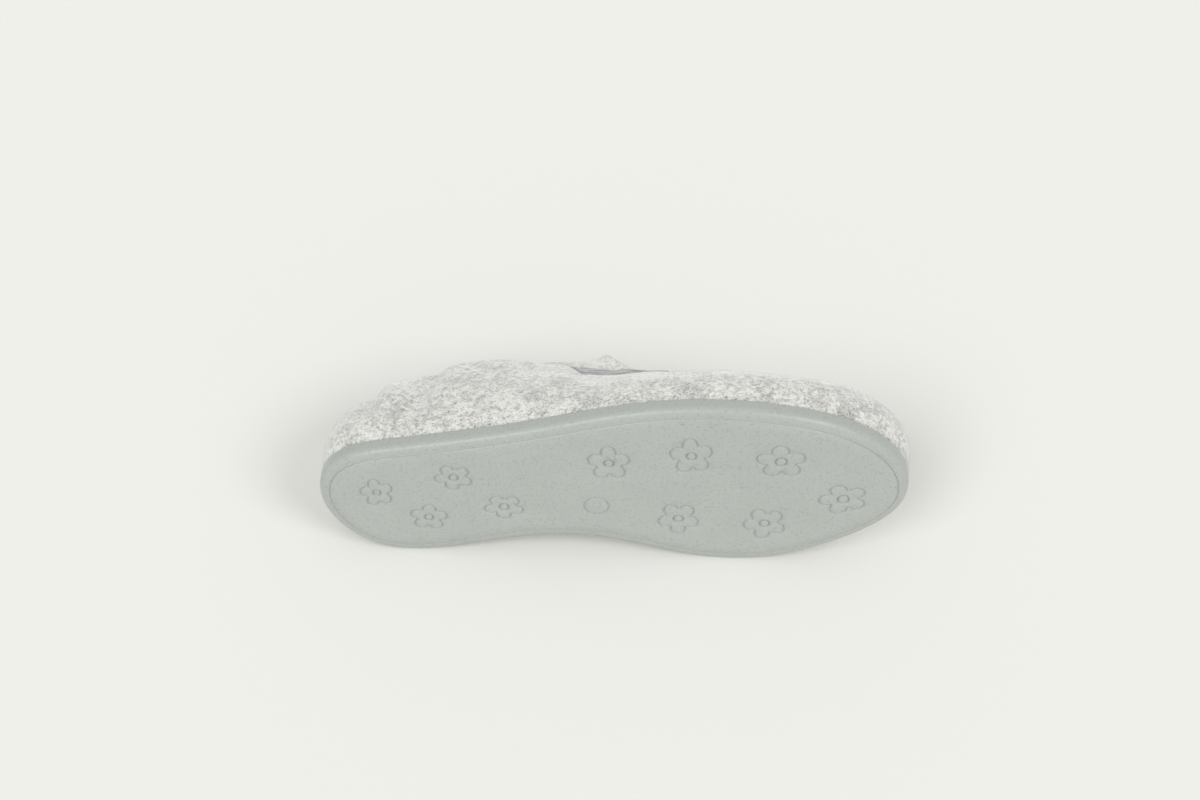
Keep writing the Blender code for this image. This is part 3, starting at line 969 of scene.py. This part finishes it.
def tongue_rows(inside, index):
    """Upper face of the tongue, row by row from its root, and the lift of its pinched fold."""
    across = np.linspace(-1.0, 1.0, TONGUE_ACROSS + 1)
    rows = []
    k = REAR
    while inside[index[0, k, ROWS]][0] < TONGUE_ROOT:
        side_o = np.array([inside[index[0, k, j]] for j in range(ROWS + 1)])
        side_i = np.array([inside[index[1, k, j]] for j in range(ROWS + 1)])
        line = np.vstack([side_i, side_o[-2::-1]])
        w = side_o[-1][1] + TONGUE_HALF * across
        h = np.interp(w, line[:, 1], line[:, 2])
        s = np.interp(w, line[:, 1], line[:, 0])
        rows.append(np.column_stack([s, w, h - GAP - TONGUE_ROOM]))
        k += 1
    rows = rows[::-1]
    folds = [np.zeros(TONGUE_ACROSS + 1) for _ in rows]
    start = rows[-1][TONGUE_ACROSS // 2]
    drop = start[2] - rows[-1][-1, 2]
    table = np.array([(start[0], start[1], start[2], TONGUE_HALF, drop)] + list(TONGUE))
    run = np.arange(len(table))
    for t in np.arange(1, TONGUE_STEPS * (len(table) - 1) + 1) / TONGUE_STEPS:
        s, w, h, half, drop = (float(open_spline(run, table[:, c], t)) for c in range(5))
        reach = PINCH_FRONT if s > PINCH_AT else PINCH_BACK
        fold = PINCH * max(0.0, 1.0 - abs(s - PINCH_AT) / reach) ** PINCH_POWER
        rows.append(np.column_stack([
            np.full(TONGUE_ACROSS + 1, s),
            w + half * across,
            h - drop * across ** 2,
        ]))
        folds.append(fold * ease((across - PINCH_EDGE) / (1.0 - PINCH_EDGE)))
    return np.array(rows), np.array(folds)


def tongue_end(loop):
    """Faces over one end of the tongue, with its two rounded edges."""
    n = TONGUE_ACROSS + 1
    cut = len(CUT_EDGE)
    over = loop[:n]
    under = loop[n + cut:2 * n + cut][::-1]
    faces = ladder(over, under)
    faces.append(np.concatenate([[over[-1]], loop[n:n + cut], [under[-1]]]))
    faces.append(np.concatenate([[under[0]], loop[2 * n + cut:], [over[0]]]))
    return faces


def make_tongue(inside, index):
    """Felt flap with rounded cut edges, lined underneath."""
    top, folds = tongue_rows(inside, index)
    run = np.gradient(top, axis=0)
    wide = np.gradient(top, axis=1)
    up = unit(np.cross(wide, run))
    up *= np.sign(up[..., 2:3])
    across = np.linspace(-1.0, 1.0, TONGUE_ACROSS + 1)
    skive = ease((top[..., 0] - SKIVE_FROM) / SKIVE_RUN)
    skive = skive * ease((across - SKIVE_EDGE) / (1.0 - SKIVE_EDGE))
    low = top - (TONGUE_FELT * (1.0 - SKIVE * skive))[..., None] * up
    top[..., 2] += folds
    low[..., 2] += PINCH_UNDER * folds
    side = unit(wide)
    tongue = Piece()
    loops = []
    for i in range(len(top)):
        edge = cut_edge(top[i, -1], low[i, -1], side[i, -1])
        back = cut_edge(top[i, 0], low[i, 0], -side[i, 0])
        loops.append(tongue.add(np.vstack([top[i], edge, low[i, ::-1], back[::-1]])))
    first = len(across) + len(CUT_EDGE)
    lined = range(first, first + TONGUE_ACROSS)
    for a, b in zip(loops, loops[1:]):
        for i in range(len(a)):
            k = (i + 1) % len(a)
            tongue.face((a[i], a[k], b[k], b[i]), LINED if i in lined else PLAIN)
    close_ends(tongue, loops, tongue_end)
    return tongue, low


def gusset_end(loop):
    """Faces over one end of the elastic strip."""
    n = len(loop) // 2
    return ladder(loop[:n], loop[n:][::-1])


def make_gusset(skin, inside, index, tongue_low):
    """Elastic strip with lengthwise ribs, from inside the collar, past its rim, to under the tongue."""
    rim = [index[0, k, ROWS] for k in range(REAR + 1)]
    deep = [index[0, k, ROWS - GUSSET_DEEP] for k in range(REAR + 1)]
    inward = GUSSET_BEHIND / FELT
    s = np.arange(GUSSET_FROM, GUSSET_TO, GUSSET_PITCH)
    held = []
    for row in (deep, rim):
        behind = inside[row] + inward * (inside[row] - skin[row])
        held.append(along_line(behind, inside[rim][:, 0], s))
    for column in GUSSET_UNDER:
        under = tongue_low[::-1, column]
        w = np.interp(s, under[:, 0], under[:, 1]) + GUSSET_ROOM[0]
        h = np.interp(s, under[:, 0], under[:, 2]) - GUSSET_ROOM[1]
        held.append(np.column_stack([s, w, h]))
    held = np.array(held)
    places = range(len(held))
    across = np.linspace(0.0, places[-1], GUSSET_ACROSS + 1)
    top = np.array([along_line(held[:, i], places, across) for i in range(len(s))])
    out = unit(np.cross(np.gradient(top, axis=1), np.gradient(top, axis=0)))
    width = np.linalg.norm(np.diff(top, axis=1, prepend=top[:, :1]), axis=2).cumsum(axis=1)
    rib = RIB * (0.5 - 0.5 * np.cos(2.0 * math.pi * width / RIB_PITCH))
    top -= rib[..., None] * out
    low = top - (GUSSET - RIB) * out
    gusset = Piece()
    loops = [gusset.add(np.vstack([a, b[::-1]])) for a, b in zip(top, low)]
    for a, b in zip(loops, loops[1:]):
        gusset.band(a, b, True)
    close_ends(gusset, loops, gusset_end)
    return gusset


def make_fuzz(places):
    """Short tapered fibres that stand off the felt, or droop over the edge of the sole."""
    draw = np.random.default_rng(SEED)
    fuzz = Piece()
    for p, faces, count, droop in places:
        faces = np.array(faces)
        across = np.cross(p[faces[:, 2]] - p[faces[:, 0]], p[faces[:, 3]] - p[faces[:, 1]])
        area = np.linalg.norm(across, axis=1)
        chosen = draw.choice(len(faces), count, p=area / area.sum())
        u, v = draw.random((2, count, 1))
        corner = p[faces[chosen]]
        root = (1 - u) * (1 - v) * corner[:, 0] + u * (1 - v) * corner[:, 1]
        root += u * v * corner[:, 2] + (1 - u) * v * corner[:, 3]
        up = across[chosen] / np.maximum(area[chosen], 1e-12)[:, None]
        lay = unit(np.cross(up, draw.normal(size=(count, 3))) - (0.0, 0.0, droop))
        long = draw.uniform(*FIBRE_LENGTH, (count, 1))
        stand = draw.uniform(*FIBRE_STAND, (count, 1))
        curl = draw.uniform(*FIBRE_CURL, (count, 1))
        middle = root + 0.5 * long * (lay + stand * up)
        tip = middle + 0.5 * long * (lay + curl * up)
        side = np.cross(up, lay)
        turns = full_turn(FIBRE_SIDES)
        sides = [FIBRE_WIDTH / 2.0 * (math.cos(t) * side + math.sin(t) * up) for t in turns]
        every = [root - FIBRE_ROOT * up + off for off in sides]
        every += [middle + FIBRE_TAPER * off for off in sides]
        every.append(tip)
        first = fuzz.add(np.stack(every, axis=1).reshape(-1, 3))[0]
        for i in range(count):
            for corners in FIBRE_FACES:
                fuzz.face([first + len(every) * i + c for c in corners])
    return fuzz


def spring(points):
    """Lifts the toe end of every piece alike."""
    x = np.clip((points[:, 0] - SPRING_START) / (LENGTH - SPRING_START), 0.0, SPRING_LIMIT)
    lifted = points.copy()
    lifted[:, 2] += TOE_SPRING * x * x
    return lifted


def laid_down(points):
    """Shoe axes to the floor: tread to -Y and up by the lean, outer side up."""
    lean = math.radians(LEAN)
    s, w, h = spring(points).T
    return MM * np.column_stack([
        s,
        h * math.cos(lean) + w * math.sin(lean),
        w * math.cos(lean) - h * math.sin(lean),
    ])


def new_object(name, data):
    """Object in the scene."""
    made = bpy.data.objects.new(name, data)
    bpy.context.scene.collection.objects.link(made)
    return made


def show(name, piece, shift, materials):
    """Mesh object of a piece, laid on the floor where its solid lies."""
    points = laid_down(piece.points) + shift
    points[:, 2] = np.maximum(points[:, 2], 0.0)
    mesh = bpy.data.meshes.new(name)
    # Laying the shoe down swaps two axes, which turns every face round.
    mesh.from_pydata([tuple(p) for p in points], [], [f[::-1] for f in piece.faces])
    for made in materials:
        mesh.materials.append(made)
    mesh.polygons.foreach_set("material_index", piece.finish)
    mesh.polygons.foreach_set("use_smooth", [True] * len(piece.faces))
    mesh.update()
    body = new_object(name, mesh)
    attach(body, BODY)
    return body


def fill(node, inputs):
    """Links or plain values on a node's inputs, each by its name or place."""
    for name, value in inputs.items():
        socket = node.inputs[name]
        if isinstance(value, bpy.types.NodeSocket):
            node.id_data.links.new(value, socket)
        else:
            socket.default_value = value


class Nodes:
    """Shorthand for building a node tree."""

    def __init__(self, tree):
        self.tree = tree

    def add(self, kind, inputs=None, **settings):
        """New node with its settings and inputs."""
        node = self.tree.nodes.new(kind)
        for name, value in settings.items():
            setattr(node, name, value)
        fill(node, inputs or {})
        return node

    def math(self, operation, a, b=0.0, clamp=False):
        """Sum, product or the like of two values."""
        return self.add("ShaderNodeMath", {0: a, 1: b}, operation=operation, use_clamp=clamp).outputs[0]

    def band(self, value, low, high, start=0.0, end=1.0):
        """Smooth step from start to end while a value goes from low to high."""
        given = {"Value": value, "From Min": low, "From Max": high, "To Min": start, "To Max": end}
        return self.add("ShaderNodeMapRange", given, interpolation_type="SMOOTHSTEP").outputs["Result"]

    def mix(self, factor, a, b):
        """Colour between a and b."""
        return self.add("ShaderNodeMix", {0: factor, 6: a, 7: b}, data_type="RGBA").outputs[2]

    def noise(self, place, scale, detail=2.0, rough=0.5, warp=0.0):
        """Cloudy value about one half."""
        given = {"Vector": place, "Scale": scale, "Detail": detail, "Roughness": rough, "Distortion": warp}
        return self.add("ShaderNodeTexNoise", given).outputs["Fac"]

    def stretched(self, place, turn, scale):
        """Place, turned and scaled by axis."""
        given = {"Vector": place, "Rotation": turn, "Scale": scale}
        return self.add("ShaderNodeMapping", given).outputs["Vector"]

    def place(self):
        """Place on a piece, in its own axes."""
        return self.add("ShaderNodeTexCoord").outputs["Object"]

    def weighed(self, a, part_a, b, part_b):
        """Sum of two values, each by its part."""
        return self.math("ADD", self.math("MULTIPLY", a, part_a), self.math("MULTIPLY", b, part_b))

    def furthest(self, operation, values):
        """Highest or lowest of several values."""
        found = values[0]
        for value in values[1:]:
            found = self.math(operation, found, value)
        return found

    def bump(self, height, strength, distance):
        """Normal of a surface with fine relief."""
        given = {"Height": height, "Strength": strength, "Distance": distance}
        return self.add("ShaderNodeBump", given).outputs["Normal"]


def new_group(name, inputs, outputs):
    """Empty shader node group with named sockets."""
    tree = bpy.data.node_groups.new(name, "ShaderNodeTree")
    for label, kind, value in inputs:
        socket = tree.interface.new_socket(label, in_out="INPUT", socket_type=kind)
        socket.default_value = value
    for label, kind in outputs:
        tree.interface.new_socket(label, in_out="OUTPUT", socket_type=kind)
    nodes = Nodes(tree)
    return tree, nodes, nodes.add("NodeGroupInput"), nodes.add("NodeGroupOutput")


def heather_group():
    """Mixed wool: pale ground with clouds, specks and crossing fibres of a darker wool."""
    tree, n, given, out = new_group(
        "heather_wool",
        (
            ("Pale", "NodeSocketColor", FELT_PALE),
            ("Dark", "NodeSocketColor", FELT_DARK),
            ("Dark Share", "NodeSocketFloat", 0.5),
        ),
        (("Colour", "NodeSocketColor"), ("Height", "NodeSocketFloat")),
    )
    place = n.place()
    cloud = n.noise(place, scale=110.0)
    blotch = n.noise(place, scale=470.0, rough=0.55, warp=0.5)
    speck = n.noise(place, scale=1300.0, warp=0.6)
    strands = []
    for turn in STRAND_TURNS:
        along = n.stretched(place, turn, STRAND_SCALE)
        strands.append(n.noise(along, scale=1.0, detail=1.0, warp=0.6))
    dark_strand = n.furthest("MAXIMUM", strands)
    pale_strand = n.furthest("MINIMUM", strands)
    ground = n.weighed(blotch, 0.6, cloud, 0.4)
    dark = n.band(ground, 0.39, 0.62, end=0.48)
    dark = n.math("ADD", dark, n.band(speck, 0.52, 0.68, end=0.50))
    dark = n.math("ADD", dark, n.band(dark_strand, 0.62, 0.76, end=0.44))
    dark = n.math("SUBTRACT", dark, n.band(pale_strand, 0.38, 0.24, end=0.26), clamp=True)
    dark = n.math("MULTIPLY", dark, given.outputs["Dark Share"], clamp=True)
    colour = n.mix(dark, given.outputs["Pale"], given.outputs["Dark"])
    fill(out, {"Colour": colour, "Height": n.weighed(speck, 0.5, dark_strand, 0.6)})
    return tree


def rubber_group():
    """Skin of the moulded sole: faint clouds, fine grain and gloss that varies."""
    tree, n, given, out = new_group(
        "moulded_skin",
        (
            ("Base", "NodeSocketColor", SOLE_FIELD),
            ("Worn", "NodeSocketColor", SOLE_BORDER),
            ("Grain", "NodeSocketColor", SOLE_GRAIN),
            ("Roughness", "NodeSocketFloat", 0.5),
        ),
        (("Colour", "NodeSocketColor"), ("Roughness", "NodeSocketFloat"), ("Height", "NodeSocketFloat")),
    )
    place = n.place()
    cloud = n.noise(place, scale=38.0, detail=4.0, rough=0.6)
    fine = n.noise(place, scale=1500.0, rough=0.6)
    speck = n.noise(place, scale=420.0)
    grain = n.noise(place, scale=900.0, rough=0.55)
    colour = n.mix(n.band(cloud, 0.35, 0.65), given.outputs["Base"], given.outputs["Worn"])
    colour = n.mix(n.band(grain, 0.52, 0.68, end=0.42), colour, given.outputs["Grain"])
    change = n.math("MULTIPLY", n.math("SUBTRACT", speck, 0.5), 0.22)
    fill(out, {
        "Colour": colour,
        "Roughness": n.math("ADD", given.outputs["Roughness"], change),
        "Height": n.weighed(fine, 0.6, speck, 0.5),
    })
    return tree


def new_material(name):
    """Material with a node tree, and its shader."""
    made = bpy.data.materials.new(name)
    made.use_nodes = True
    return made, Nodes(made.node_tree), made.node_tree.nodes["Principled BSDF"]


def felt_material(name, group, pale, dark, share, bump):
    """Felt of a pale and a dark wool; share is how much of the dark one shows."""
    made, n, shader = new_material(name)
    wool = n.add("ShaderNodeGroup", {"Pale": pale, "Dark": dark, "Dark Share": share}, node_tree=group)
    fill(shader, {
        "Base Color": wool.outputs["Colour"],
        "Normal": n.bump(wool.outputs["Height"], bump, FELT_RELIEF),
        "Roughness": 0.95,
        "Specular IOR Level": 0.2,
        "Sheen Weight": 1.0,
        "Sheen Roughness": 0.5,
    })
    return made


def rubber_material(name, group, base, worn, roughness, bump):
    """Moulded skin of the sole; worn is its paler tone in clouds."""
    made, n, shader = new_material(name)
    skin = n.add("ShaderNodeGroup", {"Base": base, "Worn": worn, "Roughness": roughness}, node_tree=group)
    fill(shader, {
        "Base Color": skin.outputs["Colour"],
        "Roughness": skin.outputs["Roughness"],
        "Normal": n.bump(skin.outputs["Height"], bump, SKIN_RELIEF),
        "Specular IOR Level": 0.45,
    })
    return made


def elastic_material():
    """Stretch fabric with streaks along its ribs."""
    made, n, shader = new_material("gusset_elastic")
    streak = n.noise(n.stretched(n.place(), (0.0, 0.0, 0.0), RIB_SCALE), scale=1.0)
    colour = n.mix(n.band(streak, 0.38, 0.66), ELASTIC_PALE, ELASTIC_DARK)
    fill(shader, {"Base Color": colour, "Roughness": 0.8, "Specular IOR Level": 0.3})
    return made


def fuzz_material():
    """Single wool fibres, pale with some dark ones."""
    made, n, shader = new_material("wool_fuzz")
    tone = n.band(n.noise(n.place(), scale=900.0, detail=1.0), 0.52, 0.62)
    colour = n.mix(tone, FELT_PALE, FUZZ_DARK)
    fill(shader, {"Base Color": colour, "Roughness": 0.9, "Specular IOR Level": 0.2})
    return made


def finished(made):
    """Nodes of a finished material, its shader and what gives its colour so far."""
    shader = made.node_tree.nodes["Principled BSDF"]
    return Nodes(made.node_tree), shader, shader.inputs["Base Color"].links[0].from_socket


def sewn_shadow_line(made, pale, dark):
    """Dark thread over a felt where the mesh's mark says so, a painted shadow line."""
    n, shader, felt = finished(made)
    mark = n.add("ShaderNodeAttribute", attribute_name=SHADOW_LINE_MARK)
    cover = n.band(mark.outputs["Fac"], 0.5 - SHADOW_LINE_EDGE, 0.5 + SHADOW_LINE_EDGE)
    tone = n.band(n.noise(n.place(), scale=900.0), 0.40, 0.62)
    fill(shader, {"Base Color": n.mix(cover, felt, n.mix(tone, pale, dark))})


def soil(made, place, reach):
    """Soiled spot of a moulded part, in the mesh's own axes."""
    n, shader, clean = finished(made)
    at = n.place()
    away = n.add("ShaderNodeVectorMath", {0: at, 1: place}, operation="DISTANCE")
    spot = n.band(away.outputs["Value"], reach, SOIL_CORE * reach)
    patch = n.band(n.noise(at, scale=520.0, rough=0.6), 0.46, 0.62, end=0.55)
    fill(shader, {"Base Color": n.mix(n.math("MULTIPLY", spot, patch), clean, SOIL)})


def shade(colour, tint):
    """A colour made darker or paler."""
    return tuple(c * tint for c in colour[:3]) + (1.0,)


def make_pieces():
    """All pieces of the slipper, each in place of its solid."""
    wool = heather_group()
    skin = rubber_group()
    ply = shade(SHADOW_LINE_THREAD, THREAD_SHADE)
    outer_felt = felt_material("outer_felt", wool, FELT_PALE, FELT_DARK, share=1.0, bump=0.55)
    lining_felt = felt_material("lining_felt", wool, LINING_PALE, LINING_DARK, share=0.7, bump=0.45)
    footbed = felt_material("footbed_felt", wool, INSOLE_PALE, INSOLE_DARK, share=0.7, bump=0.45)
    tongue_wool = felt_material("tongue_wool", wool, TONGUE_PALE, FELT_DARK, share=0.6, bump=0.55)
    # Dark thread that paints the shadow line along the slit and the stitch
    thread = felt_material("edge_thread_shadow_line", wool, SHADOW_LINE_THREAD, ply, share=0.6, bump=0.4)
    sewn_shadow_line(outer_felt, SHADOW_LINE_THREAD, ply)
    elastic = elastic_material()
    worn = shade(SOLE_FIELD, 1.03)
    tread = rubber_material("tread_skin", skin, SOLE_FIELD, worn, roughness=0.55, bump=0.35)
    worn = shade(SOLE_BORDER, 1.02)
    border = rubber_material("border_skin", skin, SOLE_BORDER, worn, roughness=0.34, bump=0.10)
    sole = make_outsole()
    upper, cover, skin_faces, smooth, inside, index = make_upper()
    tongue, tongue_low = make_tongue(inside, index)
    gusset = make_gusset(smooth, inside, index, tongue_low)
    at = laid_down(sole.points)
    low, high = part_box("outsole")
    shift = np.array([low.x - at[:, 0].min(), low.y - at[:, 1].min(), high.z - at[:, 2].max()])
    soiled = laid_down(np.array([SOIL_AT + (0.0,)]))[0] + shift
    soil(tread, soiled, MM * SOIL_REACH)
    shown = (
        ("outsole_moulded", sole, (tread, border), "outsole", "sole_rubber"),
        ("upper_felt", upper, (outer_felt, lining_felt, thread), "upper", "upper_felt"),
        ("tongue_felt", tongue, (tongue_wool, lining_felt), "tongue", "tongue_felt"),
        ("gusset_elastic", gusset, (elastic,), "gusset", "gusset_elastic"),
        ("insole_footbed", make_insole(), (footbed,), "insole", "insole_felt"),
    )
    for name, piece, materials, node, slot in shown:
        body = show(name, piece, shift, materials)
        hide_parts(node)
        if piece is upper:
            mark = body.data.attributes.new(SHADOW_LINE_MARK, "FLOAT", "POINT")
            mark.data.foreach_set("value", cover)
    felt_faces = upper.faces[:skin_faces]
    seam_faces = felt_faces[::ROWS] + felt_faces[1::ROWS]
    tongue_faces = [f for f, finish in zip(tongue.faces, tongue.finish) if finish == PLAIN and len(f) == 4]
    fuzz = make_fuzz((
        (upper.points, felt_faces, FIBRES, 0.0),
        (upper.points, seam_faces, SEAM_FIBRES, DROOP),
        (tongue.points, tongue_faces, TONGUE_FIBRES, 0.0),
    ))
    fuzz = show("upper_fuzz", fuzz, shift, (fuzz_material(),))


# Camera, at the photo's angle to the shoe
LENS = 85.0
SENSOR = 36.0
AZIMUTH = 2.375
ELEVATION = 51.549
DISTANCE = 1.2639
AIM = Vector((0.0, 0.0, 0.045))
ACROSS = 0.0069
ABOVE = -0.0177
ROLL = -0.25
CLIP = (0.05, 50.0)


def towards(azimuth, elevation):
    """Direction from the shoe to where a camera or lamp stands."""
    a = math.radians(azimuth)
    e = math.radians(elevation)
    return Vector((math.sin(a) * math.cos(e), -math.cos(a) * math.cos(e), math.sin(e)))


def stand(made, place, back, roll=0.0):
    """Stands a camera or lamp at a place, facing against the direction back."""
    made.location = place
    made.rotation_mode = "QUATERNION"
    level = (-back).to_track_quat("-Z", "Y")
    made.rotation_quaternion = level @ Quaternion((0.0, 0.0, 1.0), math.radians(roll))


def make_camera():
    """Camera that looks at the tread from above."""
    back = towards(AZIMUTH, ELEVATION)
    right = towards(AZIMUTH + 90.0, 0.0)
    up = back.cross(right)
    data = bpy.data.cameras.new("camera")
    data.lens = LENS
    data.sensor_width = SENSOR
    data.clip_start, data.clip_end = CLIP
    camera = new_object("camera", data)
    stand(camera, AIM + back * DISTANCE - right * ACROSS - up * ABOVE, back, ROLL)
    bpy.context.scene.camera = camera


FLOOR_HALF = 4.0        # half of the floor's width, in metres


def make_floor():
    """Plain pale floor."""
    half = FLOOR_HALF
    mesh = bpy.data.meshes.new("floor")
    corners = [(-half, -half, 0.0), (half, -half, 0.0), (half, half, 0.0), (-half, half, 0.0)]
    mesh.from_pydata(corners, [], [(0, 1, 2, 3)])
    made, _, shader = new_material("floor_paper")
    fill(shader, {"Base Color": FLOOR, "Roughness": 0.8, "Specular IOR Level": 0.2})
    mesh.materials.append(made)
    floor = new_object("floor", mesh)


# Lamps and room
LIGHTS = (
    # name, azimuth it comes from, elevation, angle across, strength, colour
    ("left_softbox", -34.0, 48.0, 32.0, 0.97, (1.0, 1.0, 0.985)),
    ("right_softbox", 51.0, 45.0, 26.0, 0.83, (1.0, 1.0, 0.985)),
)
WORLD_COLOUR = (1.0, 1.0, 0.98, 1.0)
WORLD_STRENGTH = 0.625
LIGHT_DISTANCE = 2.0


def make_lights():
    """Two soft lamps, left and right of the camera, in a bright room."""
    for name, azimuth, elevation, across, strength, colour in LIGHTS:
        data = bpy.data.lights.new(name, "SUN")
        data.angle = math.radians(across)
        data.energy = strength
        data.color = colour
        back = towards(azimuth, elevation)
        stand(new_object(name, data), LIGHT_DISTANCE * back, back)
    world = bpy.data.worlds.new("studio")
    world.use_nodes = True
    background = world.node_tree.nodes["Background"]
    fill(background, {"Color": WORLD_COLOUR, "Strength": WORLD_STRENGTH})
    bpy.context.scene.world = world
    bpy.context.scene.view_settings.view_transform = "Standard"


make_pieces()
make_floor()
make_lights()
make_camera()
